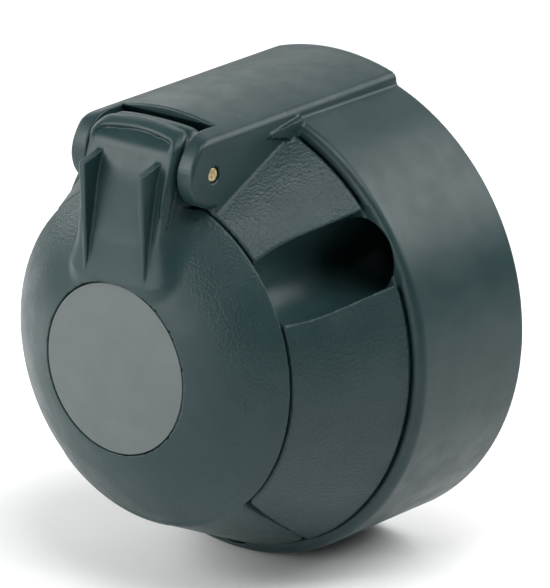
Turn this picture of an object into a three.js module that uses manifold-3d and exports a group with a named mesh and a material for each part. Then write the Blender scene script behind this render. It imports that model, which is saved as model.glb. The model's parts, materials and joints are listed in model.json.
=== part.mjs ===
// Seven-pole trailer socket: a round plastic housing with a sprung, hinged lid.
//
// Frame: millimetres, +Z up. The origin is the centre of the rear mounting face, on the
// socket's axis. +Y points out of the rear face, into the bracket; the lid faces -Y and
// its hinge is at the top. Angles written "around the axis" start at the top (+Z) and
// turn towards +X.

import * as THREE from 'three';
import { mergeVertices } from 'three/addons/utils/BufferGeometryUtils.js';
import Module from 'manifold-3d';

const wasm = await Module();
wasm.setup();

// ---------------------------------------------------------------- driving dimensions

const BASE_R = 40; // round base
const BASE_FRONT_Y = -27;
const BASE_EDGE = 1.4; // rounding of the base's front edge
const CONE_BACK_R = 38; // tapered nose: radius at its sharp back edge
const CONE_BACK_Y = -27.8;
const RIM_R = 29.5; // and at the front rim
const RIM_Y = -46.8;
const WALL = 3; // general moulding wall
const BORE_R = 21.5; // mouth that takes the plug
const TUBE_R = 24.5; // outside of the tube round the mouth
const SHOULDER_Y = -22; // back end of that tube, where the carrier seats
const GAP = 0.3; // clearance between separate pieces
const HOLLOW_END_Y = -41.5; // front end of the hollow behind the nose
const GROOVE_DEEP = 0.7; // groove between the base and the nose
const MOUTH_EDGE = 0.8; // bevel of the mouth
const KEYWAY = { half: 2.6, deep: 1.6, endY: -24 }; // for the plug's key, at the bottom

const DISC_Y = -57; // front of the blank centre disc
const DISC_R = 14.6;
const LID_SEAM = 0.35; // seam between the lid and the rim
const DOME_START_DEG = 18; // dome slope at the disc, from the disc's own plane
const DOME_END_DEG = 47.5; // and at the rim
const LID_HOLLOW_R = 20.5;

const HINGE = { y: -47.1, z: 33.2 };
const PIN_R = 1.25;
const EAR_R = 5.6;
const EAR_IN = 9.7; // the ears lie between these distances from the middle
const EAR_OUT = 13.1;
const HOOD_CROWN_R = 41.8; // crown of the hood, centred on the socket's axis
const HOOD_DROP = 0.6; // fall of the hood from the rear face to the hinge
const HOOD_EDGE = 1.1;
const GUSSET = { z: 38.2, depth: 4, length: 8.5, fall: 1.6, proud: 1.1 };
const TAB_HALF = 9.25; // half width of the lid's hinge tab
const BARREL_R = 7.1; // front and top of the tab, round the pin
const BARREL_BACK_R = 4.4; // back of the tab, round the pin
const TAB_FACE_DROP = 2.2; // how far the tab's face falls back at hinge height
const ROOM = { clear: 0.5, backClear: 0.7, openAt: 3.6 }; // room for the barrel to turn in
const SPRING_BAY = { half: 6, r: 3.7, low: -3.4, high: 6.2, deep: 9 };
const SPRING = { wire: 0.35, coil: 2.3, turns: 5.25, half: 3.4, startDeg: 20, leg: 2.3 };
const RIB = { x: 6.2, width: 1.3, top: 34.1, proud: 0.6, slopeBack: 3.7, slopeUp: 1.7 };

const LIP = { front: 18.9, back: 16.1, thick: 2.5, gapFront: 1.3, gapBack: 0.4 };

const BOLT = { degrees: [57.5, 180, 302.5], r: 32.3, pocket: 6.6, hole: 2.75, floor: -9, boss: 8.9 };
const FIX = { degrees: [0, 120, 240], r: 28.4, boss: 4, hole: 1.5, shank: 1.2, head: 2.7 };

const ISLAND_R = 16.2; // contact block that the plug's shell slides over
const ISLAND_Y = -42.8;
const FLANGE_R = 25.6;
const FLANGE_THICK = 4;
const CONTACT = { circle: 10.6, hole: 3.5, outer: 3.2, inner: 2.5, front: -41.6, pin: 2.5 };
const TERMINAL = { half: 3.1, back: -9, wire: 1.7, depth: 6 };
const SCREW = { shank: 1.1, head: 1.75, hole: 1.4, y: -12.2 };
const SEAL = { inner: 22.7, outer: 26.8, thick: 1.9, crown: 0.6 };
const BADGE = { thick: 1.3, seat: 1.6, edge: 0.2, bevel: 0.35 };
const REAR_SEAL = { r: 35.6, thick: 2.4, inset: 0.2, cable: 5.5, cableZ: -12.5, collar: 8 };
const COLLAR_DEPTH = 2.6;

const ROUND = 48; // steps round the large bodies
const SMALL = 14; // steps round contacts and small bosses
const FINE = 10; // steps round screws and wire holes

// ------------------------------------------------------------------------- materials

const finish = (color, roughness, metalness = 0) =>
  new THREE.MeshStandardMaterial({ color, roughness, metalness });
const MATERIALS = {
  shell: finish(0x30363a, 0.55),
  badge: finish(0x4a5154, 0.4),
  carrier: finish(0x23272a, 0.6),
  rubber: finish(0x17191a, 0.85),
  brass: finish(0xc9a355, 0.35, 1),
  zinc: finish(0xc8b273, 0.4, 1),
  steel: finish(0xb9bcc0, 0.35, 1),
};

// --------------------------------------------------------------------------- helpers

const rad = THREE.MathUtils.degToRad;
const around = (deg, r) => ({ x: r * Math.sin(rad(deg)), z: r * Math.cos(rad(deg)) });
const v2 = (a, b) => new THREE.Vector2(a, b);

// A closed three.js geometry as a manifold solid with its faces pointing out.
function solid(geometry) {
  const bare = geometry.clone();
  bare.deleteAttribute('normal');
  bare.deleteAttribute('uv');
  const merged = mergeVertices(bare, 1e-4);
  const points = merged.attributes.position.array;
  const faces = [];
  let volume = 0;
  for (let i = 0; i < merged.index.count; i += 3) {
    const [a, b, c] = [0, 1, 2].map((k) => merged.index.getX(i + k));
    if (a === b || b === c || c === a) continue;
    faces.push([a, b, c]);
    const [p, q, s] = [a, b, c].map((k) => new THREE.Vector3().fromArray(points, 3 * k));
    volume += p.dot(q.cross(s));
  }
  const turned = volume < 0 ? faces.map(([a, b, c]) => [a, c, b]) : faces;
  const mesh = new wasm.Mesh({
    numProp: 3,
    vertProperties: new Float32Array(points),
    triVerts: new Uint32Array(turned.flat()),
  });
  return new wasm.Manifold(mesh);
}

const join = (...parts) => parts.reduce((whole, part) => whole.add(part));
const cut = (whole, ...tools) => tools.reduce((left, tool) => left.subtract(tool), whole);

// A solid turned round the socket's axis from an outline of [radius, y] points.
function turned(outline, steps = ROUND) {
  return solid(new THREE.LatheGeometry(outline.map(([r, y]) => v2(r, y)), steps));
}

// A prism of a THREE.Shape drawn on the plane of its two named axes.
const PLANES = {
  yz: [new THREE.Vector3(0, 1, 0), new THREE.Vector3(0, 0, 1), new THREE.Vector3(1, 0, 0)],
  xz: [new THREE.Vector3(1, 0, 0), new THREE.Vector3(0, 0, 1), new THREE.Vector3(0, 1, 0)],
  xy: [new THREE.Vector3(1, 0, 0), new THREE.Vector3(0, 1, 0), new THREE.Vector3(0, 0, 1)],
};
function prism(plane, shape, from, to, curveSegments = 12) {
  const options = { depth: to - from, bevelEnabled: false, curveSegments };
  const geometry = new THREE.ExtrudeGeometry(shape, options);
  geometry.translate(0, 0, from);
  geometry.applyMatrix4(new THREE.Matrix4().makeBasis(...PLANES[plane]));
  return solid(geometry);
}
const outline = (points) => new THREE.Shape(points.map(([a, b]) => v2(a, b)));

// A round bar along Y or X, given the place of its axis and its two ends.
function barY(r, x, z, from, to, steps = SMALL) {
  const geometry = new THREE.CylinderGeometry(r, r, to - from, steps);
  geometry.translate(x, (from + to) / 2, z);
  return solid(geometry);
}
function barX(r, y, z, from, to, steps = 16) {
  const geometry = new THREE.CylinderGeometry(r, r, to - from, steps);
  geometry.rotateZ(Math.PI / 2);
  geometry.translate((from + to) / 2, y, z);
  return solid(geometry);
}
function block(x0, x1, y0, y1, z0, z1) {
  const geometry = new THREE.BoxGeometry(x1 - x0, y1 - y0, z1 - z0);
  geometry.translate((x0 + x1) / 2, (y0 + y1) / 2, (z0 + z1) / 2);
  return solid(geometry);
}
const both = (make) => join(make(1), make(-1));

const model = new THREE.Group();
function place(name, material, body) {
  const found = body.getMesh();
  const geometry = new THREE.BufferGeometry();
  geometry.setAttribute('position', new THREE.BufferAttribute(found.vertProperties, 3));
  geometry.setIndex(new THREE.BufferAttribute(found.triVerts, 1));
  const mesh = new THREE.Mesh(geometry, MATERIALS[material]);
  mesh.name = name;
  model.add(mesh);
  return mesh;
}

// Points on an arc of the YZ plane round the hinge. 0 deg is forward, 90 up, 180 back.
function hingeArc(r, fromDeg, toDeg, steps) {
  const points = [];
  for (let i = 0; i <= steps; i += 1) {
    const a = rad(fromDeg + ((toDeg - fromDeg) * i) / steps);
    points.push([HINGE.y - r * Math.cos(a), HINGE.z + r * Math.sin(a)]);
  }
  return points;
}

// Radius of the nose's outside at a given y.
const CONE_SLOPE = (CONE_BACK_R - RIM_R) / (CONE_BACK_Y - RIM_Y);
const coneRadius = (y) => RIM_R + CONE_SLOPE * (y - RIM_Y);

// --------------------------------------------------------------------------- housing

// Outside and inside of the housing as one outline: base, groove, nose, mouth, hollow.
function housingShell() {
  const edge = [];
  for (let i = 0; i <= 4; i += 1) {
    const a = (Math.PI / 8) * i;
    const r = BASE_R - BASE_EDGE + BASE_EDGE * Math.cos(a);
    edge.push([r, BASE_FRONT_Y + BASE_EDGE - BASE_EDGE * Math.sin(a)]);
  }
  const inner = BASE_R - WALL - 0.5;
  const hollowY = BASE_FRONT_Y + WALL + 1;
  return turned([
    [BASE_R, 0],
    ...edge,
    [CONE_BACK_R + 0.2, BASE_FRONT_Y],
    [CONE_BACK_R - GROOVE_DEEP, BASE_FRONT_Y + 0.2],
    [CONE_BACK_R - GROOVE_DEEP, CONE_BACK_Y + 0.5],
    [CONE_BACK_R, CONE_BACK_Y],
    [RIM_R, RIM_Y],
    [BORE_R + MOUTH_EDGE, RIM_Y],
    [BORE_R, RIM_Y + MOUTH_EDGE],
    [BORE_R, SHOULDER_Y],
    [TUBE_R, SHOULDER_Y],
    [TUBE_R, HOLLOW_END_Y],
    [coneRadius(HOLLOW_END_Y) - WALL, HOLLOW_END_Y],
    [coneRadius(hollowY - 2) - WALL, hollowY - 2],
    [inner, hollowY],
    [inner, 0],
    [BASE_R, 0],
  ]);
}

// Crowned bridge on top of the base; it runs forward and ends in the two hinge ears.
function hood() {
  const side = EAR_OUT;
  const crown = (x) => Math.sqrt(HOOD_CROWN_R ** 2 - x ** 2);
  const section = [[-side, 20], [side, 20]];
  const flat = side - HOOD_EDGE;
  for (let i = 0; i <= 4; i += 1) {
    const a = (Math.PI / 8) * i;
    section.push([flat + HOOD_EDGE * Math.cos(a), crown(flat) + HOOD_EDGE * (Math.sin(a) - 1)]);
  }
  for (let i = 1; i < 10; i += 1) {
    const x = flat * (1 - (2 * i) / 10);
    section.push([x, crown(x)]);
  }
  for (let i = 4; i >= 0; i -= 1) {
    const a = (Math.PI / 8) * i;
    section.push([-flat - HOOD_EDGE * Math.cos(a), crown(flat) + HOOD_EDGE * (Math.sin(a) - 1)]);
  }
  const options = { depth: 60, bevelEnabled: false };
  const geometry = new THREE.ExtrudeGeometry(outline(section), options);
  geometry.applyMatrix4(new THREE.Matrix4().makeBasis(...PLANES.xz));
  geometry.translate(0, -60, 0);
  const fall = new THREE.Matrix4();
  fall.elements[6] = HOOD_DROP / -HINGE.y;
  geometry.applyMatrix4(fall);

  const rimDeg = -90 - THREE.MathUtils.radToDeg(Math.asin((RIM_Y - HINGE.y) / EAR_R));
  const nose = hingeArc(EAR_R, rimDeg, 20, 10);
  for (let i = 1; i <= 6; i += 1) {
    const t = i / 6;
    nose.push(...hingeArc(EAR_R + 1.6 * t ** 2, 20 + 72 * t, 20 + 72 * t, 1).slice(1));
  }
  const profile = outline([
    [0, 34],
    [SHOULDER_Y, 34],
    [CONE_BACK_Y, 30],
    [RIM_Y, 24],
    ...nose,
    [HINGE.y + 4, 44],
    [0, 44],
  ]);
  return solid(geometry).intersect(prism('yz', profile, -side - 1, side + 1));
}

// Small gussets where the hood's sides run out in front of the base.
function hoodGussets() {
  const backY = BASE_FRONT_Y + 1;
  const tipY = backY - GUSSET.length;
  const profile = outline([
    [backY, GUSSET.z],
    [backY, GUSSET.z - GUSSET.depth],
    [tipY, GUSSET.z - GUSSET.fall],
  ]);
  return both((s) => {
    const reach = s * (EAR_OUT + GUSSET.proud + 1);
    const slab = prism('yz', profile, Math.min(0, reach), Math.max(0, reach));
    const plan = outline([
      [s * (EAR_OUT - 1), backY],
      [s * (EAR_OUT + GUSSET.proud), backY],
      [s * EAR_OUT, tipY],
      [s * (EAR_OUT - 1), tipY],
    ]);
    return slab.intersect(prism('xy', plan, 30, BASE_R));
  });
}

// Room between the ears for the lid's barrel as it turns.
function barrelRoom() {
  const clear = BARREL_R + ROOM.clear;
  const back = BARREL_BACK_R + ROOM.backClear;
  const points = [
    [HINGE.y - 12, HINGE.z + 12],
    [HINGE.y + ROOM.openAt, HINGE.z + 12],
    ...hingeArc(clear, 118, 216, 12),
    ...hingeArc(back, 232, 256, 3),
    [RIM_Y, HINGE.z - EAR_R - 1],
    [HINGE.y - 12, HINGE.z - EAR_R - 1],
  ];
  return prism('yz', outline(points), -EAR_IN, EAR_IN);
}

// Material behind the nose that the lip's bay is cut into.
function lipBacking() {
  const ring = turned([
    [coneRadius(BASE_FRONT_Y) - WALL + 1.3, BASE_FRONT_Y + 1.6],
    [coneRadius(RIM_Y) - WALL + 1.3, RIM_Y + 2],
    [TUBE_R - 1, RIM_Y + 2],
    [TUBE_R - 1, RIM_Y + 6],
    [coneRadius(BASE_FRONT_Y) - WALL - 4.5, BASE_FRONT_Y + 1.6],
    [coneRadius(BASE_FRONT_Y) - WALL + 1.3, BASE_FRONT_Y + 1.6],
  ]);
  const wide = LIP.front + 4;
  return ring.intersect(block(-wide, wide, RIM_Y, 0, -BASE_R, -10));
}

// Plan of the lid's lip or of its bay, given the half widths at its two ends.
function lipPlan(front, back, yFront, yBack) {
  return outline([
    [-front, yFront],
    [front, yFront],
    [back, yBack],
    [-back, yBack],
  ]);
}

function lipBay() {
  const depth = LIP.thick + 0.5;
  const tool = turned([
    [BASE_R + 4, RIM_Y - 1],
    [BASE_R + 4, BASE_FRONT_Y],
    [coneRadius(BASE_FRONT_Y) - depth, BASE_FRONT_Y],
    [coneRadius(RIM_Y - 1) - depth, RIM_Y - 1],
    [BASE_R + 4, RIM_Y - 1],
  ]);
  const front = LIP.front + LIP.gapFront + 0.15;
  const back = LIP.back + LIP.gapBack;
  const plan = lipPlan(front, back, RIM_Y - 1, BASE_FRONT_Y);
  return tool.intersect(prism('xy', plan, -BASE_R - 5, -10));
}

const boltPlaces = () => BOLT.degrees.map((deg) => ({ deg, ...around(deg, BOLT.r) }));
const fixPlaces = () => FIX.degrees.map((deg) => ({ deg, ...around(deg, FIX.r) }));

// Channel for one mounting bolt: round at its end, and open to the outside of the nose.
function boltPocket({ deg, x, z }) {
  const bore = barY(BOLT.pocket, x, z, RIM_Y - 12, BOLT.floor, 28);
  const open = new THREE.BoxGeometry(2 * BOLT.pocket, 12 + BASE_FRONT_Y - RIM_Y, 14);
  open.translate(0, (RIM_Y - 12 + BASE_FRONT_Y) / 2, BOLT.r + 7);
  open.rotateY(rad(deg));
  return bore.add(solid(open));
}

function housing() {
  let body = join(housingShell(), lipBacking());
  const envelope = turned([[0, 0], [BASE_R, 0], [BASE_R, BASE_FRONT_Y + BASE_EDGE],
    [BASE_R - 0.4, BASE_FRONT_Y + 0.4], [BASE_R - BASE_EDGE, BASE_FRONT_Y],
    [CONE_BACK_R - GROOVE_DEEP, BASE_FRONT_Y + 0.2],
    [CONE_BACK_R - GROOVE_DEEP, CONE_BACK_Y + 0.5],
    [CONE_BACK_R, CONE_BACK_Y], [RIM_R, RIM_Y], [0, RIM_Y]]);
  const mouth = barY(BORE_R + 0.5, 0, 0, RIM_Y - 1, 1, ROUND);
  for (const { x, z } of boltPlaces()) {
    const boss = barY(BOLT.boss, x, z, RIM_Y, 0, 24);
    body = body.add(boss.intersect(envelope).subtract(mouth));
  }
  for (const { x, z } of fixPlaces()) {
    body = body.add(barY(FIX.boss, x, z, RIM_Y + 9.8, SHOULDER_Y, SMALL));
  }
  const hoodSolid = hood().subtract(barY(BASE_R - WALL - 0.3, 0, 0, SHOULDER_Y - 1, 1, ROUND));
  body = join(body, hoodSolid.subtract(mouth), hoodGussets());
  body = cut(body, barrelRoom(), lipBay());
  for (const spot of boltPlaces()) {
    const hole = barY(BOLT.hole, spot.x, spot.z, BOLT.floor - 1, 1, SMALL);
    body = cut(body, boltPocket(spot), hole);
  }
  for (const { x, z } of fixPlaces()) {
    body = body.subtract(barY(FIX.hole, x, z, SHOULDER_Y - 11, SHOULDER_Y + 1, FINE));
  }
  const { half, deep, endY } = KEYWAY;
  const key = block(-half, half, RIM_Y - 1, endY, -BORE_R - deep, -BORE_R + 2);
  const pinHole = barX(PIN_R + 0.08, HINGE.y, HINGE.z, -EAR_OUT - 1, EAR_OUT + 1);
  return cut(body, key, pinHole);
}

// ------------------------------------------------------------------------------- lid

// The dome's outside as an arc of [radius, y] points from the disc to the rim.
const LID_RIM_Y = RIM_Y - LID_SEAM;
function domeArc(startR, startY, endR, endY, steps) {
  const bend = rad(DOME_END_DEG - DOME_START_DEG);
  const chord = Math.hypot(endR - startR, endY - startY);
  const lean = Math.atan2(endY - startY, endR - startR);
  const bow = chord / (2 * Math.sin(bend / 2));
  const points = [];
  for (let i = 0; i <= steps; i += 1) {
    const a = lean - bend / 2 + (bend * i) / steps;
    const a0 = lean - bend / 2;
    points.push([
      startR + bow * (Math.sin(a) - Math.sin(a0)),
      startY + bow * (Math.cos(a0) - Math.cos(a)),
    ]);
  }
  return points;
}

function lidDome() {
  return turned([
    [0, DISC_Y],
    ...domeArc(DISC_R + GAP, DISC_Y, RIM_R, LID_RIM_Y, 6),
    [0, LID_RIM_Y],
  ]);
}

// Hinge tab with its barrel; it blends from the disc's edge up to the top of the hood.
function lidTab() {
  const foot = DISC_R + 0.8;
  const shape = outline([
    [DISC_Y, foot],
    [DISC_Y + TAB_FACE_DROP, HINGE.z - 0.5],
    ...hingeArc(BARREL_R, 0, 104, 12),
    ...hingeArc(BARREL_BACK_R, 140, 262, 10),
    [LID_RIM_Y, HINGE.z - BARREL_BACK_R - 1.2],
    [LID_RIM_Y, foot],
  ]);
  const tab = prism('yz', shape, -TAB_HALF, TAB_HALF);
  const crown = HOOD_CROWN_R - HOOD_DROP - 0.6;
  const arch = [[-TAB_HALF - 1, 0], [TAB_HALF + 1, 0]];
  for (let i = 0; i <= 10; i += 1) {
    const x = (TAB_HALF + 1) * (1 - (2 * i) / 10);
    arch.push([x, Math.sqrt(crown ** 2 - x ** 2)]);
  }
  return tab.intersect(prism('xz', outline(arch), -70, -30));
}

function lidRib(side) {
  const front = DISC_Y - RIB.proud;
  const shape = outline([
    [DISC_Y, DISC_R + 0.8],
    [front, RIB.top],
    [front + RIB.slopeBack, RIB.top + RIB.slopeUp],
    [front + RIB.slopeBack, DISC_R + 0.8],
  ]);
  const x = side * RIB.x;
  return prism('yz', shape, x - RIB.width / 2, x + RIB.width / 2);
}

// Lip that runs back from the lid's rim, flush with the nose, to lift the lid by.
function lidLip() {
  const backY = CONE_BACK_Y - 0.1;
  const frontY = LID_RIM_Y - 1.2;
  const ring = turned([
    [RIM_R - 1, frontY],
    [coneRadius(LID_RIM_Y), LID_RIM_Y],
    [coneRadius(backY), backY],
    [coneRadius(backY) - LIP.thick, backY],
    [coneRadius(LID_RIM_Y) - LIP.thick, LID_RIM_Y],
    [RIM_R - LIP.thick - 1, frontY],
    [RIM_R - 1, frontY],
  ]);
  return ring.intersect(prism('xy', lipPlan(LIP.front, LIP.back, frontY, backY), -BASE_R, -10));
}

function lid() {
  const body = join(lidDome(), lidTab(), both(lidRib), lidLip());
  const hollowY = DISC_Y + 4.2;
  const hollow = turned([
    [0, hollowY],
    [DISC_R - 2, hollowY],
    [LID_HOLLOW_R, LID_RIM_Y - 4.5],
    [LID_HOLLOW_R, LID_RIM_Y + 1],
    [0, LID_RIM_Y + 1],
  ]);
  const seat = turned([
    [0, DISC_Y - 1],
    [DISC_R + 0.1, DISC_Y - 1],
    [DISC_R + 0.1, DISC_Y + BADGE.seat],
    [0, DISC_Y + BADGE.seat],
  ]);
  const sealY = LID_RIM_Y - SEAL.thick;
  const groove = turned([
    [SEAL.inner - GAP, sealY],
    [SEAL.outer + GAP, sealY],
    [SEAL.outer + GAP, LID_RIM_Y + 1],
    [SEAL.inner - GAP, LID_RIM_Y + 1],
    [SEAL.inner - GAP, sealY],
  ]);
  const { half, r, low, high, deep } = SPRING_BAY;
  const bay = join(
    barX(r, HINGE.y, HINGE.z, -half, half),
    block(-half, half, HINGE.y, HINGE.y + deep, HINGE.z + low, HINGE.z + high),
  );
  const pinHole = barX(PIN_R + 0.1, HINGE.y, HINGE.z, -TAB_HALF - 1, TAB_HALF + 1);
  const earRoom = both((s) => {
    const ends = [s * (EAR_IN - GAP), s * (EAR_OUT + GAP)].sort((a, b) => a - b);
    return barX(EAR_R + 0.5, HINGE.y, HINGE.z, ends[0], ends[1], 36);
  });
  return cut(body, hollow, seat, groove, bay, pinHole, earRoom);
}

// Plain moulded disc let into the middle of the lid.
function badge() {
  return turned([
    [0, DISC_Y],
    [DISC_R - BADGE.bevel, DISC_Y],
    [DISC_R - BADGE.bevel + BADGE.edge, DISC_Y + BADGE.edge],
    [DISC_R - BADGE.bevel + BADGE.edge, DISC_Y + BADGE.thick],
    [0, DISC_Y + BADGE.thick],
  ], 40);
}

function lidSeal() {
  const front = LID_RIM_Y - SEAL.thick + GAP;
  const back = RIM_Y - 0.05;
  const middle = (SEAL.inner + SEAL.outer) / 2;
  return turned([
    [SEAL.inner, front],
    [SEAL.outer, front],
    [SEAL.outer, back - 0.5],
    [middle + SEAL.crown, back],
    [middle - SEAL.crown, back],
    [SEAL.inner, back - 0.5],
    [SEAL.inner, front],
  ], 40);
}

// Torsion spring round the pin: one end on the housing's hood, one on the lid.
function lidSpring() {
  const { wire, coil, turns, half, startDeg, leg } = SPRING;
  const steps = Math.round(turns * 11);
  const startA = rad(startDeg);
  const points = [];
  const at = (a, x) =>
    new THREE.Vector3(x, HINGE.y + coil * Math.cos(a), HINGE.z + coil * Math.sin(a));
  const tangent = (a) => new THREE.Vector3(0, -Math.sin(a), Math.cos(a));
  const first = at(startA, half);
  points.push(first.clone().addScaledVector(tangent(startA), -leg));
  for (let i = 0; i <= steps; i += 1) {
    const t = i / steps;
    points.push(at(startA + t * turns * 2 * Math.PI, half - 2 * half * t));
  }
  const endA = startA + turns * 2 * Math.PI;
  points.push(points.at(-1).clone().addScaledVector(tangent(endA), leg));
  const ring = [];
  for (let i = 0; i < 5; i += 1) {
    const a = (2 * Math.PI * i) / 5;
    ring.push(v2(wire * Math.cos(a), wire * Math.sin(a)));
  }
  const path = new THREE.CatmullRomCurve3(points, false, 'chordal');
  const options = { steps: points.length, extrudePath: path, bevelEnabled: false };
  return solid(new THREE.ExtrudeGeometry(new THREE.Shape(ring), options));
}

function hingePin() {
  const end = EAR_OUT - 0.35;
  return barX(PIN_R, HINGE.y, HINGE.z, -end, end);
}

// ---------------------------------------------------------------------------- insert

function contactPlaces() {
  const places = [];
  for (let i = 0; i < 6; i += 1) {
    const deg = 30 + 60 * i;
    places.push({ deg, ...around(deg, CONTACT.circle) });
  }
  places.push({ deg: 0, x: 0, z: 0 });
  return places;
}

// Insulating block: an island with a hole for each contact and a flange at its back.
function carrier() {
  const backY = SHOULDER_Y + FLANGE_THICK + 0.05;
  let body = turned([
    [0, ISLAND_Y],
    [ISLAND_R - 0.6, ISLAND_Y],
    [ISLAND_R, ISLAND_Y + 0.6],
    [ISLAND_R, SHOULDER_Y - 3],
    [BORE_R - 0.25, SHOULDER_Y - 3],
    [BORE_R - 0.25, SHOULDER_Y + 0.05],
    [FLANGE_R, SHOULDER_Y + 0.05],
    [FLANGE_R, backY],
    [0, backY],
  ]);
  for (const { x, z } of fixPlaces()) {
    body = body.add(barY(FIX.boss + 0.6, x, z, SHOULDER_Y + 0.05, backY, SMALL));
  }
  for (const { x, z } of fixPlaces()) {
    body = body.subtract(barY(FIX.shank + 0.35, x, z, SHOULDER_Y - 1, backY + 1, FINE));
  }
  for (const { x, z } of contactPlaces()) {
    body = body.subtract(barY(CONTACT.hole, x, z, ISLAND_Y - 1, backY + 1, SMALL));
  }
  for (const { x, z } of boltPlaces()) {
    body = body.subtract(barY(BOLT.boss + GAP, x, z, SHOULDER_Y, backY + 1, 24));
  }
  return body;
}

// Contact number 3 is a pin, all others are tubes. Each ends in a clamp block at the back.
function contact(number, { deg, x, z }) {
  const necked = SHOULDER_Y + FLANGE_THICK + 0.35;
  let body = barY(CONTACT.outer, 0, 0, SHOULDER_Y - 8, necked);
  if (number === 3) {
    body = body.add(barY(CONTACT.pin, 0, 0, CONTACT.front + 1, SHOULDER_Y - 7.5));
  } else {
    const tube = barY(CONTACT.outer, 0, 0, CONTACT.front, SHOULDER_Y - 7.5);
    body = body.add(tube).subtract(barY(CONTACT.inner, 0, 0, CONTACT.front - 1, SHOULDER_Y - 6));
  }
  const h = TERMINAL.half;
  body = body.add(block(-h, h, necked - 0.3, TERMINAL.back, -h, h));
  const wire = barY(TERMINAL.wire, 0, 0, TERMINAL.back - TERMINAL.depth, TERMINAL.back + 1, FINE);
  const thread = solid(new THREE.CylinderGeometry(SCREW.hole, SCREW.hole, h + 1, FINE)
    .rotateX(Math.PI / 2).translate(0, SCREW.y, (h + 1) / 2));
  body = body.subtract(wire).subtract(thread);
  const mesh = place(`contact_${number}`, 'brass', body);
  mesh.position.set(x, 0, z);
  mesh.rotation.y = rad(deg);
  return mesh;
}

// Clamp screw with a slotted head, standing in the side of its contact's block.
function terminalScrew(number, { deg, x, z }) {
  const h = TERMINAL.half;
  const shank = new THREE.CylinderGeometry(SCREW.shank, SCREW.shank, h - 1.2, FINE);
  shank.rotateX(Math.PI / 2).translate(0, SCREW.y, 1.2 + (h - 1.2) / 2 + 0.2);
  const head = new THREE.CylinderGeometry(SCREW.head, SCREW.head, 1.2, SMALL);
  head.rotateX(Math.PI / 2).translate(0, SCREW.y, h + 0.3 + 0.6);
  const slot = block(-0.3, 0.3, SCREW.y - 3, SCREW.y + 3, h + 1, h + 3);
  const neck = new THREE.CylinderGeometry(SCREW.shank, SCREW.shank, 0.8, FINE);
  neck.rotateX(Math.PI / 2).translate(0, SCREW.y, h + 0.1);
  const body = join(solid(shank), solid(neck), solid(head)).subtract(slot);
  const mesh = place(`terminal_screw_${number}`, 'steel', body);
  mesh.position.set(x, 0, z);
  mesh.rotation.y = rad(deg);
}

// Pan-head screw that holds the insert's flange to the housing.
function carrierScrew(number, { x, z }) {
  const seatY = SHOULDER_Y + FLANGE_THICK + 0.1;
  const shank = barY(FIX.shank, 0, 0, SHOULDER_Y - 9, seatY + 0.5, FINE);
  const head = barY(FIX.head, 0, 0, seatY, seatY + 1.8, SMALL);
  const slot = join(
    block(-0.35, 0.35, seatY + 0.9, seatY + 3, -1.7, 1.7),
    block(-1.7, 1.7, seatY + 0.9, seatY + 3, -0.35, 0.35),
  );
  const mesh = place(`carrier_screw_${number}`, 'steel', join(shank, head).subtract(slot));
  mesh.position.set(x, 0, z);
}

// Rubber plate that closes the back, with a collar for the cable and room for the bolts.
function rearSeal() {
  const { r, thick, inset, cable, cableZ, collar } = REAR_SEAL;
  const front = -thick - inset;
  let body = barY(r, 0, 0, front, -inset, ROUND);
  body = body.add(barY(collar, 0, cableZ, front - COLLAR_DEPTH, front + 0.5, 24));
  for (const { x, z } of boltPlaces()) {
    body = body.subtract(barY(BOLT.boss + 0.4, x, z, front - 1, 1, 24));
  }
  return body.subtract(barY(cable, 0, cableZ, front - COLLAR_DEPTH - 1, 1, 24));
}

// -------------------------------------------------------------------------- assembly

place('socket_housing', 'shell', housing());
place('hinge_pin', 'zinc', hingePin());
place('contact_carrier', 'carrier', carrier());
contactPlaces().forEach((spot, i) => {
  contact(i + 1, spot);
  terminalScrew(i + 1, spot);
});
fixPlaces().forEach((spot, i) => carrierScrew(i + 1, spot));
place('rear_seal', 'rubber', rearSeal());
place('lid', 'shell', lid());
place('lid_badge', 'badge', badge());
place('lid_seal', 'rubber', lidSeal());
place('lid_spring', 'steel', lidSpring());

export default model;
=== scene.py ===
"""Looks of a seven-pole trailer socket with a sprung lid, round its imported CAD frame.

The moulded pieces are meshed from distance fields: each is written as joins and cuts of
simple shapes with rounded edges, sampled on a grid and pulled onto the exact surface.
Lengths in this file are millimetres unless a name ends in _M. +Y is the rear, +Z is up.
"""
import json
import math

import bmesh
import bpy
import numpy as np
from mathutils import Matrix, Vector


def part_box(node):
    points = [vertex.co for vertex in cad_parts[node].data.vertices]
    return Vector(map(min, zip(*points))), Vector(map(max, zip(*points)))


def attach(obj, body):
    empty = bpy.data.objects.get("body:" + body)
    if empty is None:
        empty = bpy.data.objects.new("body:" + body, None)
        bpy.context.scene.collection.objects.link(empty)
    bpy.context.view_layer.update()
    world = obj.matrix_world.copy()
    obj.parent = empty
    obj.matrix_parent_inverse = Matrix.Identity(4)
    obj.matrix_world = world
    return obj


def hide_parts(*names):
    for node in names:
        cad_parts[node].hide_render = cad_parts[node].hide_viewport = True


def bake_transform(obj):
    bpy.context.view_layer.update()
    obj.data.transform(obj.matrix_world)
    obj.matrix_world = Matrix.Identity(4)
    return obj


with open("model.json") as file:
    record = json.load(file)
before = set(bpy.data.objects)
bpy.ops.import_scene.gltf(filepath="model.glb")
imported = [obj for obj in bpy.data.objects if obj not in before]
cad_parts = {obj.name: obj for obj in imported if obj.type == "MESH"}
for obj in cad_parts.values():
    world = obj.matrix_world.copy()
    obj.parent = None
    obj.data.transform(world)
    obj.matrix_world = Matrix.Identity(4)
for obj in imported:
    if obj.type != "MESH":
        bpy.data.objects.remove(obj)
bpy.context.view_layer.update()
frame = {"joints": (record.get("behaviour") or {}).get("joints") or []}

import openvdb
from mathutils import Matrix, Vector

MM = 0.001

# ------------------------------------------------------------------ driving dimensions


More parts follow.
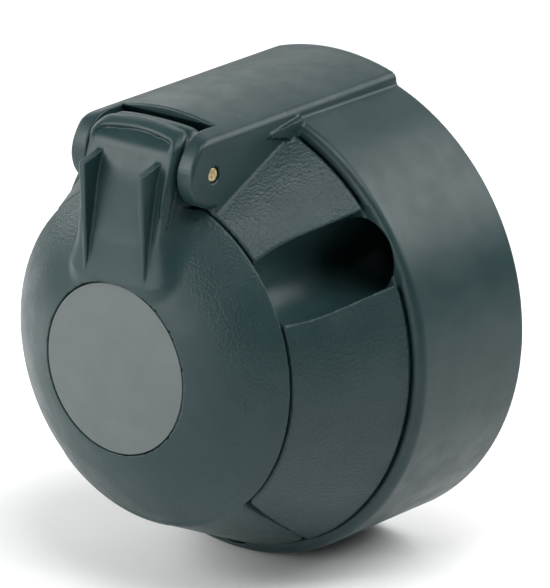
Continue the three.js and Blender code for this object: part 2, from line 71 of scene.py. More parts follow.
def node_box(node):
    """Lowest and highest corner of a CAD node, in millimetres."""
    low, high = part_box(node)
    return np.array(low) / MM, np.array(high) / MM


HOUSING_LOW, HOUSING_HIGH = node_box("socket_housing")
BADGE_LOW, BADGE_HIGH = node_box("lid_badge")
PIN_LOW, PIN_HIGH = node_box("hinge_pin")
SEAL_LOW, SEAL_HIGH = node_box("lid_seal")
REAR_LOW, REAR_HIGH = node_box("rear_seal")
CARRIER_LOW, CARRIER_HIGH = node_box("contact_carrier")
LID_LOW, LID_HIGH = node_box("lid")

BASE_R = HOUSING_HIGH[0]
BASE_FRONT_Y = -27.0
BASE_EDGE = 1.5
CONE_BACK_R, CONE_BACK_Y = 38.0, -27.8
RIM_R, RIM_Y = 29.5, -46.8
WALL = 3.0
BORE_R, TUBE_R = 21.5, 24.5
SHOULDER_Y = -22.0
HOLLOW_END_Y = -41.5

DISC_Y = BADGE_LOW[1]
DISC_R = BADGE_HIGH[0] + 0.15
LID_RIM_Y = RIM_Y - 0.35
DOME_START, DOME_END = math.radians(18), math.radians(47.5)
LID_HOLLOW_R = 20.5
SEAL_IN, SEAL_OUT = 22.7, SEAL_HIGH[0]

HINGE_Y, HINGE_Z = (v / MM for v in frame["joints"][0]["pos_m"][1:])
PIN_R = (PIN_HIGH[2] - PIN_LOW[2]) / 2
EAR_R, EAR_IN, EAR_OUT = 5.6, 9.7, 13.1
HOOD_CROWN_R = HOUSING_HIGH[2]
HOOD_DROP, HOOD_EDGE = 0.6, 1.0
GUSSET = {"z": 38.2, "depth": 4.0, "length": 8.5, "fall": 1.6, "proud": 1.1}
TAB_HALF, TAB_CORNER, TAB_CROWN = 9.25, 2.6, 40.6
BARREL_R, BARREL_BACK_R = 7.1, 4.4
RIB = {"x": 6.2, "half": 0.66, "foot": 13.2, "top": 34.1, "proud": 0.6, "back": 3.9, "up": 1.05}
TAB_FACE = {"back": 2.8, "z": 32.0, "lean": 0.35, "curl": 0.8, "curl_z": 37.4}
TAB_BEAD = {"inset": 0.75, "back": 0.45, "r": 0.75, "low": 35.5, "high": 39.0}
TAB_DISH = {"inset": 1.9, "proud": 1.6, "deepens": 1.9}
TAB_SEAM = {"inset": 0.1, "back": 2.3, "r": 0.4}
LIP = {"front": 18.9, "back": 16.1, "thick": 2.5, "top": -10.0, "gap_front": 1.45, "gap_back": 0.4}
BOLT = {"degrees": (57.5, 180.0, 302.5), "r": 32.3, "pocket": 6.6, "hole": 2.75,
        "floor": -9.0, "boss": 8.9}
FIX = {"degrees": (0.0, 120.0, 240.0), "r": 28.4, "boss": 4.0, "hole": 1.5}
CONTACT = {"circle": 10.6, "hole": 3.5, "outer": 3.2, "inner": 2.5, "front": -41.6,
           "neck": -17.65, "back": -9.0, "half": 3.1, "screw_y": -12.2,
           "pin": 2.5, "pin_front": -40.6}
CABLE = {"z": -12.5, "r": 5.5, "collar": 8.0}
REAR_SEAL = {"front": -2.6, "groove": 33.2, "ridge": 6.8}
GRID = {"housing": 0.42, "lid": 0.34, "carrier": 0.42, "contact": 0.2, "screw": 0.11,
        "fixing": 0.16, "seal": 0.45}


def cone_radius(y):
    """Radius of the nose's outside at y."""
    return RIM_R + (CONE_BACK_R - RIM_R) / (CONE_BACK_Y - RIM_Y) * (y - RIM_Y)


def around(degrees, r):
    """x and z of a point around the axis, from the top towards +X."""
    a = math.radians(degrees)
    return r * math.sin(a), r * math.cos(a)


# -------------------------------------------------------------------- distance fields
# A field gives the signed distance to a surface, in millimetres: below 0 is inside.


def length(a, b):
    return np.sqrt(a * a + b * b)


def meet(a, b, r=0.0):
    """What is in both, with its edge rounded to radius r."""
    if np.all(r == 0):
        return np.maximum(a, b)
    outside = length(np.maximum(a + r, 0), np.maximum(b + r, 0))
    return np.minimum(np.maximum(a, b), -r) + outside


def join(a, b, r=0.0):
    """What is in either, with a fillet of radius r in the corner."""
    if r == 0:
        return np.minimum(a, b)
    inside = length(np.maximum(r - a, 0), np.maximum(r - b, 0))
    return np.maximum(np.minimum(a, b), r) - inside


def cut(a, b, r=0.0):
    return meet(a, -b, r)


def slab(v, low, high):
    return np.maximum(low - v, v - high)


def smooth_step(v, low, high):
    t = np.clip((v - low) / (high - low), 0, 1)
    return t * t * (3 - 2 * t)


def rounded(corners, steps=7):
    """Outline of corners (a, b) or (a, b, radius), each with a radius turned into an arc."""
    points = []
    for i, corner in enumerate(corners):
        here = np.array(corner[:2], float)
        if len(corner) == 2:
            points.append(here)
            continue
        before = np.array(corners[i - 1][:2], float) - here
        after = np.array(corners[(i + 1) % len(corners)][:2], float) - here
        before /= np.linalg.norm(before)
        after /= np.linalg.norm(after)
        half = math.acos(np.clip(before @ after, -1, 1)) / 2
        middle = before + after
        centre = here + middle / np.linalg.norm(middle) * corner[2] / math.sin(half)
        reach = corner[2] / math.tan(half)
        start, end = here + before * reach - centre, here + after * reach - centre
        turn = math.atan2(start[0] * end[1] - start[1] * end[0], start @ end)
        for k in range(steps + 1):
            a = turn * k / steps
            spin = np.array([[math.cos(a), -math.sin(a)], [math.sin(a), math.cos(a)]])
            points.append(centre + spin @ start)
    return np.array(points)


class Flat:
    """Distance to a closed outline on a plane, kept as a table so that it reads fast."""

    PITCH, MARGIN = 0.1, 3.0

    def __init__(self, corners):
        points = rounded(corners)
        self.low = points.min(0) - self.MARGIN
        count = np.ceil((points.max(0) + self.MARGIN - self.low) / self.PITCH).astype(int) + 1
        a = (self.low[0] + self.PITCH * np.arange(count[0]))[:, None]
        b = (self.low[1] + self.PITCH * np.arange(count[1]))[None, :]
        best = np.full((count[0], count[1]), 1e9)
        inside = np.zeros(best.shape, bool)
        for (a0, b0), (a1, b1) in zip(points, np.roll(points, -1, 0)):
            da, db = a1 - a0, b1 - b0
            size = da * da + db * db
            if size < 1e-12:
                continue
            t = np.clip(((a - a0) * da + (b - b0) * db) / size, 0, 1)
            best = np.minimum(best, (a - a0 - t * da) ** 2 + (b - b0 - t * db) ** 2)
            if db != 0:
                crosses = (b0 <= b) != (b1 <= b)
                inside ^= crosses & (a < a0 + (b - b0) * da / db)
        self.table = np.where(inside, -1, 1).astype(np.float32) * np.sqrt(best).astype(np.float32)

    def __call__(self, a, b):
        a, b = np.broadcast_arrays(a, b)
        top = np.array(self.table.shape) - 1.001
        u, v = (a - self.low[0]) / self.PITCH, (b - self.low[1]) / self.PITCH
        uc, vc = np.clip(u, 0, top[0]), np.clip(v, 0, top[1])
        i, j = uc.astype(np.int32), vc.astype(np.int32)
        s, t = (uc - i).astype(np.float32), (vc - j).astype(np.float32)
        table = self.table
        near = table[i, j] * (1 - t) + table[i, j + 1] * t
        far = table[i + 1, j] * (1 - t) + table[i + 1, j + 1] * t
        return near * (1 - s) + far * s + self.PITCH * length(u - uc, v - vc)


def gradient(field, points, reach=0.06):
    """Direction in which the field grows at each point."""
    parts = []
    for axis in range(3):
        step = np.zeros(3)
        step[axis] = reach
        ahead, behind = field(*(points + step).T), field(*(points - step).T)
        parts.append((ahead - behind) / (2 * reach))
    return np.stack(parts, 1)


def ticks(low, high, step, fine=()):
    """Grid lines from low to high; fine holds (from, to, step) bands with closer lines."""
    lines = []
    v = low
    while v <= high + step:
        lines.append(v)
        v += min([step] + [s for a, b, s in fine if a <= v < b])
    return np.array(lines)


def mesh_field(name, field, lines, circles=()):
    """Mesh of a field's surface on grid lines, as a Blender object in metres.
    circles are the (radius, y) of sharp round edges that nearby points are drawn to."""
    xs, ys, zs = (axis.astype(np.float32) for axis in lines)
    values = np.empty((len(xs), len(ys), len(zs)), np.float32)
    block = 12
    for j in range(0, len(ys), block):
        part = ys[j:j + block]
        values[:, j:j + block] = field(xs[:, None, None], part[None, :, None], zs[None, None])
    grid = openvdb.FloatGrid(1.0)
    grid.copyFromArray(values)
    found, quads = grid.convertToQuads(isovalue=0.0)
    points = np.stack([np.interp(found[:, k], np.arange(len(axis)), axis)
                       for k, axis in enumerate((xs, ys, zs))], 1)
    cell = float(np.diff(xs).max())
    for _ in range(3):
        slope = gradient(field, points)
        move = field(*points.T) / np.maximum((slope ** 2).sum(1), 0.3)
        points -= slope * np.clip(move, -cell / 2, cell / 2)[:, None]
    for r, y in circles:
        reach = length(points[:, 0], points[:, 2])
        near = length(reach - r, points[:, 1] - y) < 0.62 * cell
        points[near, 0] *= r / reach[near]
        points[near, 2] *= r / reach[near]
        points[near, 1] = y
    normals = gradient(field, points, 0.12)
    normals /= np.maximum(np.linalg.norm(normals, axis=1), 1e-9)[:, None]
    corners = points[quads]
    facing = np.cross(corners[:, 2] - corners[:, 0], corners[:, 3] - corners[:, 1])
    if (facing * normals[quads[:, 0]]).sum() < 0:
        quads = quads[:, ::-1]
    mesh = bpy.data.meshes.new(name)
    mesh.from_pydata((points * MM).tolist(), [], quads.tolist())
    mesh.validate()
    mesh.shade_smooth()
    if len(mesh.vertices) == len(normals):
        mesh.normals_split_custom_set_from_vertices(normals.tolist())
    return show(name, mesh)


def show(name, mesh):
    obj = bpy.data.objects.new(name, mesh)
    bpy.context.scene.collection.objects.link(obj)
    return obj


# ----------------------------------------------------------------------- the housing

SHELL = Flat([
    (BASE_R, 0, 0.5), (BASE_R, BASE_FRONT_Y, BASE_EDGE), (CONE_BACK_R + 0.15, BASE_FRONT_Y, 0.15),
    (CONE_BACK_R - 0.9, BASE_FRONT_Y + 0.6), (CONE_BACK_R - 0.9, CONE_BACK_Y + 0.3),
    (CONE_BACK_R, CONE_BACK_Y, 0.2), (RIM_R, RIM_Y, 0.3), (BORE_R + 0.9, RIM_Y, 0.4),
    (BORE_R, RIM_Y + 1.2, 0.4), (BORE_R, SHOULDER_Y, 0.3), (TUBE_R, SHOULDER_Y, 0.3),
    (TUBE_R, HOLLOW_END_Y, 0.8), (cone_radius(HOLLOW_END_Y) - WALL, HOLLOW_END_Y, 0.8),
    (cone_radius(BASE_FRONT_Y + 2) - WALL, BASE_FRONT_Y + 2, 0.8),
    (BASE_R - WALL - 0.5, BASE_FRONT_Y + 4, 1.0), (BASE_R - WALL - 0.5, 0, 0.5),
])
OUTSIDE = Flat([
    (-1, 0), (BASE_R - 0.1, 0, 0.5), (BASE_R - 0.1, BASE_FRONT_Y, BASE_EDGE),
    (CONE_BACK_R - 0.9, BASE_FRONT_Y + 0.1), (CONE_BACK_R - 0.9, CONE_BACK_Y + 0.3),
    (CONE_BACK_R - 0.1, CONE_BACK_Y), (RIM_R - 0.1, RIM_Y + 0.1), (-1, RIM_Y + 0.1),
])
LIP_BACKING = Flat([
    (cone_radius(BASE_FRONT_Y) - 1.7, BASE_FRONT_Y + 1.6), (cone_radius(RIM_Y) - 1.7, RIM_Y + 2),
    (TUBE_R - 1, RIM_Y + 2), (TUBE_R - 1, RIM_Y + 6),
    (cone_radius(BASE_FRONT_Y) - 7.5, BASE_FRONT_Y + 1.6),
])
LIP_BAY = Flat([
    (BASE_R + 4, RIM_Y - 1), (BASE_R + 4, BASE_FRONT_Y),
    (cone_radius(BASE_FRONT_Y) - LIP["thick"] - 0.5, BASE_FRONT_Y, 0.4),
    (cone_radius(RIM_Y - 1) - LIP["thick"] - 0.5, RIM_Y - 1),
])


def lip_plan(front, back, y_front, y_back):
    return Flat([(-front, y_front), (front, y_front), (back, y_back, 0.8), (-back, y_back, 0.8)])


BAY_PLAN = lip_plan(LIP["front"] + LIP["gap_front"], LIP["back"] + LIP["gap_back"],
                    RIM_Y - 1, BASE_FRONT_Y)


def hinge_arc(r, start, end, steps=12):
    """Points round the hinge on the YZ plane. 0 degrees is forward, 90 is up."""
    angles = np.radians(np.linspace(start, end, steps + 1))
    return [(HINGE_Y - r * math.cos(a), HINGE_Z + r * math.sin(a)) for a in angles]


def ear_nose():
    """Front of an ear from the rim round to the hood's top."""
    under = -90 - math.degrees(math.asin((RIM_Y - HINGE_Y) / EAR_R))
    points = hinge_arc(EAR_R, under, 20)
    for t in np.linspace(0.1, 1, 10):
        points += hinge_arc(EAR_R + 1.6 * t ** 2, 20 + 72 * t, 20 + 72 * t, 0)
    return points


HOOD_SIDE = Flat([(0, 34), (SHOULDER_Y, 34), (CONE_BACK_Y, 30), (RIM_Y, 24), *ear_nose(),
                  (HINGE_Y + 4, 46), (0, 46)])
ROOM_CLEAR = BARREL_R + 0.5
ROOM_SIDE = Flat([(HINGE_Y - 14, HINGE_Z + 14), (HINGE_Y + 3.6, HINGE_Z + 14),
                  *hinge_arc(ROOM_CLEAR, 118, 216), *hinge_arc(BARREL_BACK_R + 0.7, 232, 256, 3),
                  (RIM_Y, HINGE_Z - EAR_R - 1), (HINGE_Y - 14, HINGE_Z - EAR_R - 1)])


def hood(x, y, z):
    raised = z + HOOD_DROP * y / HINGE_Y
    section = meet(length(x, raised) - HOOD_CROWN_R, np.abs(x) - EAR_OUT, HOOD_EDGE)
    section = meet(section, np.maximum(y, 20 - z))
    body = meet(section, HOOD_SIDE(y, z), 0.7)
    back_room = np.maximum(length(x, z) - (BASE_R - WALL - 0.3), SHOULDER_Y - 1 - y)
    return cut(body, back_room)


def gusset(x, y, z):
    """Wedge in the corner where the hood's side leaves the base."""
    back = BASE_FRONT_Y + 1
    along = (back - y) / GUSSET["length"]
    top = GUSSET["z"] - GUSSET["fall"] * along
    under = GUSSET["z"] - GUSSET["depth"] + (GUSSET["depth"] - GUSSET["fall"]) * along
    side = np.abs(x) - EAR_OUT - GUSSET["proud"] * (1 - along)
    wedge = np.maximum(slab(z, under, top), slab(y, back - GUSSET["length"], back))
    return np.maximum(wedge, np.maximum(side, EAR_OUT - 1 - np.abs(x)))


def bolt_frame(x, z, degrees):
    """Coordinates seen from a bolt: outwards from the socket's axis, and across."""
    a = math.radians(degrees)
    return x * math.sin(a) + z * math.cos(a) - BOLT["r"], x * math.cos(a) - z * math.sin(a)


def bolt_pocket(x, y, z, degrees):
    out, across = bolt_frame(x, z, degrees)
    bar = length(out, across) - BOLT["pocket"]
    channel = np.where(out > 0, np.abs(across) - BOLT["pocket"], bar)
    inner = meet(bar, y - BOLT["floor"], 0.6)
    return np.minimum(inner, np.maximum(channel, y - BASE_FRONT_Y))


def housing(x, y, z):
    r = length(x, z)
    body = SHELL(r, y)
    under = np.maximum(np.abs(x) - LIP["front"] - 4, z - LIP["top"])
    body = join(body, np.maximum(LIP_BACKING(r, y), under))
    outside = OUTSIDE(r, y)
    mouth = BORE_R + 0.5 - r
    for degrees in BOLT["degrees"]:
        out, across = bolt_frame(x, z, degrees)
        boss = np.maximum(length(out, across) - BOLT["boss"], np.maximum(outside, mouth))
        body = join(body, boss)
    for degrees in FIX["degrees"]:
        cx, cz = around(degrees, FIX["r"])
        boss = np.maximum(length(x - cx, z - cz) - FIX["boss"], slab(y, RIM_Y + 9.8, SHOULDER_Y))
        body = join(body, boss, 0.5)
    top = np.maximum(hood(x, y, z), mouth)
    body = join(body, top, 0.45)
    body = join(body, gusset(x, y, z), 0.35)
    room = np.maximum(ROOM_SIDE(y, z), np.abs(x) - EAR_IN)
    body = cut(body, room, 0.35)
    bay = np.maximum(LIP_BAY(r, y), np.maximum(BAY_PLAN(x, y), z - LIP["top"]))
    body = cut(body, bay, 0.25)
    for degrees in BOLT["degrees"]:
        body = cut(body, bolt_pocket(x, y, z, degrees), 0.3)
        out, across = bolt_frame(x, z, degrees)
        body = cut(body, length(out, across) - BOLT["hole"], 0.3)
    for degrees in FIX["degrees"]:
        cx, cz = around(degrees, FIX["r"])
        hole = np.maximum(length(x - cx, z - cz) - FIX["hole"], SHOULDER_Y - 11 - y)
        body = cut(body, hole, 0.2)
    key = np.maximum(np.abs(x) - 2.6, np.maximum(-z - BORE_R - 1.6, z + BORE_R - 2))
    key = np.maximum(key, y - SHOULDER_Y + 2)
    body = cut(body, key, 0.3)
    return cut(body, length(y - HINGE_Y, z - HINGE_Z) - PIN_R - 0.12, 0.15)


# --------------------------------------------------------------------------- the lid


def dome_arc(steps=40):
    """The dome's outside, from the disc to the rim, steepening evenly."""
    start, end = (DISC_R + 0.1, DISC_Y), (RIM_R, LID_RIM_Y)
    bend = DOME_END - DOME_START
    chord = math.dist(start, end)
    lean = math.atan2(end[1] - start[1], end[0] - start[0])
    bow = chord / (2 * math.sin(bend / 2))
    first = lean - bend / 2
    points = []
    for i in range(steps + 1):
        a = first + bend * i / steps
        points.append((start[0] + bow * (math.sin(a) - math.sin(first)),
                       start[1] + bow * (math.cos(first) - math.cos(a))))
    return points


DOME = Flat([(-1, DISC_Y), *dome_arc()[:-1], (RIM_R, LID_RIM_Y, 0.35), (-1, LID_RIM_Y)])
TAB_FOOT = DISC_R + 0.6
TAB_SIDE = Flat([
    (DISC_Y, TAB_FOOT), (DISC_Y + TAB_FACE["back"], TAB_FACE["z"], 18.0),
    (DISC_Y + 4.7, TAB_FACE["curl_z"], 5.0),
    (HINGE_Y - 2.4, HINGE_Z + 6.9, 0.8), *hinge_arc(BARREL_R, 80, 104),
    *hinge_arc(BARREL_BACK_R, 140, 262),
    (LID_RIM_Y, HINGE_Z - BARREL_BACK_R - 1.2), (LID_RIM_Y, TAB_FOOT),
])


def arch_outline():
    """Front view of the tab: straight sides, round corners and a crowned top."""
    angle = math.asin((TAB_HALF - TAB_CORNER) / (TAB_CROWN - TAB_CORNER))
    crown = [(TAB_CROWN * math.sin(a), TAB_CROWN * math.cos(a))
             for a in np.linspace(angle, -angle, 17)]
    corner_x = (TAB_CROWN - TAB_CORNER) * math.sin(angle)
    corner_z = (TAB_CROWN - TAB_CORNER) * math.cos(angle)
    right = [(corner_x + TAB_CORNER * math.cos(a), corner_z + TAB_CORNER * math.sin(a))
             for a in np.linspace(0, math.pi / 2 - angle, 9)]
    left = [(-a, b) for a, b in right[::-1]]
    return [(-TAB_HALF, 8), (TAB_HALF, 8), *right, *crown[1:-1], *left]


TAB_FRONT = Flat(arch_outline())
LIP_RING = Flat([
    (RIM_R - 1, LID_RIM_Y - 1.2), (cone_radius(LID_RIM_Y), LID_RIM_Y, 2.0),
    (cone_radius(CONE_BACK_Y), CONE_BACK_Y, 0.6),
    (cone_radius(CONE_BACK_Y) - LIP["thick"], CONE_BACK_Y, 0.6),
    (cone_radius(LID_RIM_Y) - LIP["thick"], LID_RIM_Y), (RIM_R - LIP["thick"] - 1, LID_RIM_Y - 1.2),
])
LIP_SIDES = lip_plan(LIP["front"], LIP["back"], LID_RIM_Y - 1.2, CONE_BACK_Y)


def lid_tab(x, y, z):
    """Leaning face with a rolled bead round its arched top and a cove inside the bead."""
    front = TAB_FRONT(x, z)
    body = meet(TAB_SIDE(y, z), front, 1.8 - 0.9 * smooth_step(z, 17, 30))
    above_dome = 0.05 * np.maximum(z - 14, 0) ** 2
    body = meet(body, DOME(length(x, z), y) - above_dome, 0.8)
    face_y = DISC_Y + TAB_FACE["back"] + TAB_FACE["lean"] * (z - TAB_FACE["z"])
    face_y = face_y + TAB_FACE["curl"] * np.maximum(z - TAB_FACE["curl_z"], 0)
    near_top = smooth_step(z, TAB_BEAD["low"], TAB_BEAD["high"])
    bead = length(front + TAB_BEAD["inset"], (y - face_y - TAB_BEAD["back"]) * 0.8)
    body = join(body, bead - TAB_BEAD["r"] * near_top, 0.7)
    dish_y = face_y - TAB_DISH["proud"] + TAB_DISH["deepens"] * near_top
    body = cut(body, np.maximum(front + TAB_DISH["inset"], y - dish_y), 1.3)
    seam = length(front + TAB_SEAM["inset"], y - face_y - TAB_SEAM["back"])
    return cut(body, seam - TAB_SEAM["r"] * smooth_step(z, 35, 38), 0.4)


def lid_rib(x, y, z):
    """Both ribs at once: they differ only in the sign of x."""
    along = np.clip((z - RIB["foot"]) / (RIB["top"] - RIB["foot"]), 0, 1)
    front = DISC_Y - RIB["proud"] * along
    slope = (z - RIB["top"]) * RIB["back"] - (y - front) * RIB["up"]
    slope = slope / math.hypot(RIB["back"], RIB["up"])
    width = RIB["half"] * (0.5 + 0.5 * along)
    sides = np.abs(np.abs(x) - RIB["x"]) - width
    ends = np.maximum(y - front - RIB["back"] - 2, DISC_R + 0.1 - length(x, z))
    ends = np.maximum(ends, RIB["foot"] - 0.6 - z)
    body = np.maximum(front - y, ends)
    return meet(meet(body, slope, 0.15), sides, 0.22)


def lid(x, y, z):
    r = length(x, z)
    tab = lid_tab(x, y, z)
    body = join(DOME(r, y), tab, 3.2)
    body = meet(body, y - LID_RIM_Y, 0.2)
    body = np.minimum(body, tab)
    body = join(body, lid_rib(x, y, z), 0.25)
    lip = meet(np.maximum(LIP_RING(r, y), z - LIP["top"]), LIP_SIDES(x, y), 0.7)
    body = join(body, lip, 0.5)
    hollow = meet(r - LID_HOLLOW_R, DISC_Y + 4.2 - y, 3.0)
    body = cut(body, hollow, 0.4)
    body = cut(body, np.maximum(r - DISC_R - 0.1, y - DISC_Y - 1.6), 0.12)
    groove = np.maximum(slab(r, SEAL_IN - 0.3, SEAL_OUT + 0.3), SEAL_LOW[1] - 0.3 - y)
    body = cut(body, groove, 0.2)
    bay = np.minimum(length(y - HINGE_Y, z - HINGE_Z) - 3.7,
                     np.maximum(slab(y, HINGE_Y, HINGE_Y + 9), slab(z, HINGE_Z - 3.4, HINGE_Z + 6.2)))
    body = cut(body, np.maximum(bay, np.abs(x) - 6), 0.3)
    body = cut(body, length(y - HINGE_Y, z - HINGE_Z) - PIN_R - 0.1)
    ears = np.maximum(length(y - HINGE_Y, z - HINGE_Z) - EAR_R - 0.5,
                      slab(np.abs(x), EAR_IN - 0.3, EAR_OUT + 0.3))
    return cut(body, ears, 0.3)


# ---------------------------------------------------------------------- small pieces


def spin(name, corners, steps=192, centre=(0.0, 0.0)):
    """Turned piece from an outline of (radius, y) corners, round an axis along Y."""
    profile = rounded(corners)
    count = len(profile)
    points, faces = [], []
    for i in range(steps):
        a = 2 * math.pi * i / steps
        for r, y in profile:
            points.append(((centre[0] + r * math.sin(a)) * MM, y * MM,
                           (centre[1] + r * math.cos(a)) * MM))
        for k in range(count):
            n, m = (k + 1) % count, (i + 1) % steps
            faces.append((i * count + k, i * count + n, m * count + n, m * count + k))
    return tidy(name, points, faces)


def tidy(name, points, faces, sharp=40):
    """Closed mesh from loose quads: doubled points merged and normals pointing out."""
    mesh = bpy.data.meshes.new(name)
    mesh.from_pydata(points, [], faces)
    work = bmesh.new()
    work.from_mesh(mesh)
    bmesh.ops.remove_doubles(work, verts=work.verts, dist=1e-7)
    bmesh.ops.dissolve_degenerate(work, edges=work.edges, dist=1e-8)
    bmesh.ops.recalc_face_normals(work, faces=work.faces)
    work.to_mesh(mesh)
    work.free()
    mesh.shade_smooth()
    mesh.set_sharp_from_angle(angle=math.radians(sharp))
    return show(name, mesh)


def sweep(name, route, radius, sides=14):
    """Round wire along a route, with closed ends."""
    route = np.array(route, float)
    ahead = np.gradient(route, axis=0)
    ahead /= np.linalg.norm(ahead, axis=1)[:, None]
    side = np.cross(ahead[0], (1.0, 0.2, 0.1))
    points, faces = [], []
    for i, (here, way) in enumerate(zip(route, ahead)):
        side = side - way * (side @ way)
        side /= np.linalg.norm(side)
        other = np.cross(way, side)
        for k in range(sides):
            a = 2 * math.pi * k / sides
            points.append((here + radius * (side * math.cos(a) + other * math.sin(a))) * MM)
        if i:
            for k in range(sides):
                n = (k + 1) % sides
                faces.append(((i - 1) * sides + k, (i - 1) * sides + n, i * sides + n, i * sides + k))
    faces.append(tuple(range(sides)))
    faces.append(tuple(range((len(route) - 1) * sides, len(route) * sides)))
    return tidy(name, points, faces)


def lid_disc():
    thick = 1.3
    return spin("lid_disc", [(0, DISC_Y), (BADGE_HIGH[0], DISC_Y, 0.12),
                             (BADGE_HIGH[0], DISC_Y + thick, 0.1), (0, DISC_Y + thick)], 256)


def seal_ring():
    front, back = SEAL_LOW[1], SEAL_HIGH[1]
    middle = (SEAL_IN + SEAL_OUT) / 2
    return spin("lid_seal_ring", [
        (SEAL_IN, front, 0.2), (SEAL_OUT, front, 0.2), (SEAL_OUT, back - 0.6, 0.25),
        (middle + 1.0, back - 0.5, 0.3), (middle, back, 0.5), (middle - 1.0, back - 0.5, 0.3),
        (SEAL_IN, back - 0.6, 0.25)])


def hinge_pin():
    """Pin along X: turned along Y, then laid down."""
    half = PIN_HIGH[0]
    pin = spin("hinge_pin_turned", [(0, -half + 0.1), (PIN_R - 0.5, -half), (PIN_R, -half, 0.3),
                                    (PIN_R, half, 0.3), (PIN_R - 0.5, half), (0, half - 0.1)], 48)
    lay = Matrix.Translation((0, HINGE_Y * MM, HINGE_Z * MM)) @ Matrix.Rotation(math.pi / 2, 4, "Z")
    pin.data.transform(lay)
    return pin


SPRING = {"wire": 0.35, "coil": 2.3, "turns": 5.25, "half": 3.4, "start": 20.0, "leg": 2.3}


def hinge_spring():
    """Torsion spring round the pin; its first leg leans on the hood, its last on the lid."""
    turns, half, coil = SPRING["turns"], SPRING["half"], SPRING["coil"]
    first = math.radians(SPRING["start"])
    last = first + turns * 2 * math.pi

    def at(a, x):
        return np.array((x, HINGE_Y + coil * math.cos(a), HINGE_Z + coil * math.sin(a)))

    def way(a):
        return np.array((0, -math.sin(a), math.cos(a)))

    steps = int(turns * 40)
    route = [at(first, half) - way(first) * SPRING["leg"] * t for t in (1, 0.66, 0.33)]
    route += [at(first + (last - first) * i / steps, half - 2 * half * i / steps)
              for i in range(steps + 1)]
    route += [at(last, -half) + way(last) * SPRING["leg"] * t for t in (0.33, 0.66, 1)]
    return sweep("hinge_spring_coil", route, SPRING["wire"])


def contact_places():
    ring = [(i + 1, 30 + 60 * i, *around(30 + 60 * i, CONTACT["circle"])) for i in range(6)]
    return ring + [(7, 0.0, 0.0, 0.0)]


CARRIER = Flat([
    (-1, CARRIER_LOW[1]), (16.2, CARRIER_LOW[1], 0.8), (16.2, SHOULDER_Y - 3, 0.5),
    (BORE_R - 0.25, SHOULDER_Y - 3, 0.4), (BORE_R - 0.25, SHOULDER_Y + 0.1, 0.2),
    (25.6, SHOULDER_Y + 0.1, 0.4), (25.6, CARRIER_HIGH[1], 0.5), (-1, CARRIER_HIGH[1]),
])


def carrier(x, y, z):
    r = length(x, z)
    body = CARRIER(r, y)
    lug_y = slab(y, SHOULDER_Y + 0.1, CARRIER_HIGH[1])
    for degrees in FIX["degrees"]:
        cx, cz = around(degrees, FIX["r"])
        reach = length(x - cx, z - cz)
        body = join(body, meet(reach - FIX["boss"] - 0.6, lug_y, 0.4), 0.5)
        body = cut(body, reach - 1.55, 0.2)
    for _, _, cx, cz in contact_places():
        reach = length(x - cx, z - cz)
        rim = meet(reach - CONTACT["hole"] - 0.9, CARRIER_LOW[1] - y, 0.3)
        body = cut(body, cut(rim, reach - CONTACT["hole"] - 0.5) + 0.25)
        body = cut(body, reach - CONTACT["hole"], 0.35)
    for degrees in BOLT["degrees"]:
        out, across = bolt_frame(x, z, degrees)
        body = cut(body, length(out, across) - BOLT["boss"] - 0.3, 0.3)
    return body


def contact_tube(x, y, z):
    """Contact at the axis: a split tube in front, a clamp block behind."""
    r = length(x, z)
    body = meet(r - CONTACT["outer"], slab(y, CONTACT["front"], CONTACT["neck"]), 0.35)
    body = cut(body, np.maximum(r - CONTACT["inner"], y - SHOULDER_Y + 6), 0.3)
    slit = np.maximum(np.abs(x) - 0.28, y - CONTACT["front"] - 9)
    return clamp_block(cut(body, slit, 0.08), x, y, z)


def contact_pin(x, y, z):
    r = length(x, z)
    body = meet(r - CONTACT["pin"], slab(y, CONTACT["pin_front"], SHOULDER_Y), 1.1)
    foot = meet(r - CONTACT["outer"], slab(y, SHOULDER_Y - 8, CONTACT["neck"]), 0.3)
    body = join(body, foot, 0.2)
    return clamp_block(body, x, y, z)


def clamp_block(body, x, y, z):
    half = CONTACT["half"]
    sides = meet(np.abs(x) - half, np.abs(z) - half, 0.4)
    block = meet(sides, slab(y, CONTACT["neck"] - 0.3, CONTACT["back"]), 0.3)
    wire = np.maximum(length(x, z) - 1.7, CONTACT["back"] - 6 - y)
    thread = np.maximum(length(x, y - CONTACT["screw_y"]) - 1.4, -z)
    return cut(cut(join(body, block), wire, 0.3), thread, 0.2)


def terminal_screw(x, y, z):
    """Cheese-head screw that stands along +Z in its contact's clamp block."""
    half = CONTACT["half"]
    reach = length(x, y - CONTACT["screw_y"])
    shank = np.maximum(reach - 1.1, slab(z, 1.4, half + 0.5))
    head = meet(reach - 1.75, slab(z, half + 0.3, half + 1.5), 0.2)
    return cut(join(shank, head), np.maximum(np.abs(x) - 0.3, half + 1.0 - z), 0.05)


def carrier_screw(x, y, z):
    """Pan-head cross-recess screw along Y."""
    seat = CARRIER_HIGH[1] + 0.05
    reach = length(x, z)
    thread = 0.08 * np.sin((y + np.arctan2(x, z) * 0.7 / (2 * math.pi)) * 2 * math.pi / 0.7)
    shank = np.maximum(reach - 1.15 + thread * (y < seat - 2), slab(y, SHOULDER_Y - 9, seat + 0.4))
    head = meet(reach - 2.7, slab(y, seat, seat + 1.8), 0.8)
    arm = np.minimum(np.maximum(np.abs(x) - 0.35, np.abs(z) - 1.7),
                     np.maximum(np.abs(z) - 0.35, np.abs(x) - 1.7))
    return cut(join(shank, head), np.maximum(arm, seat + 0.9 - y), 0.12)


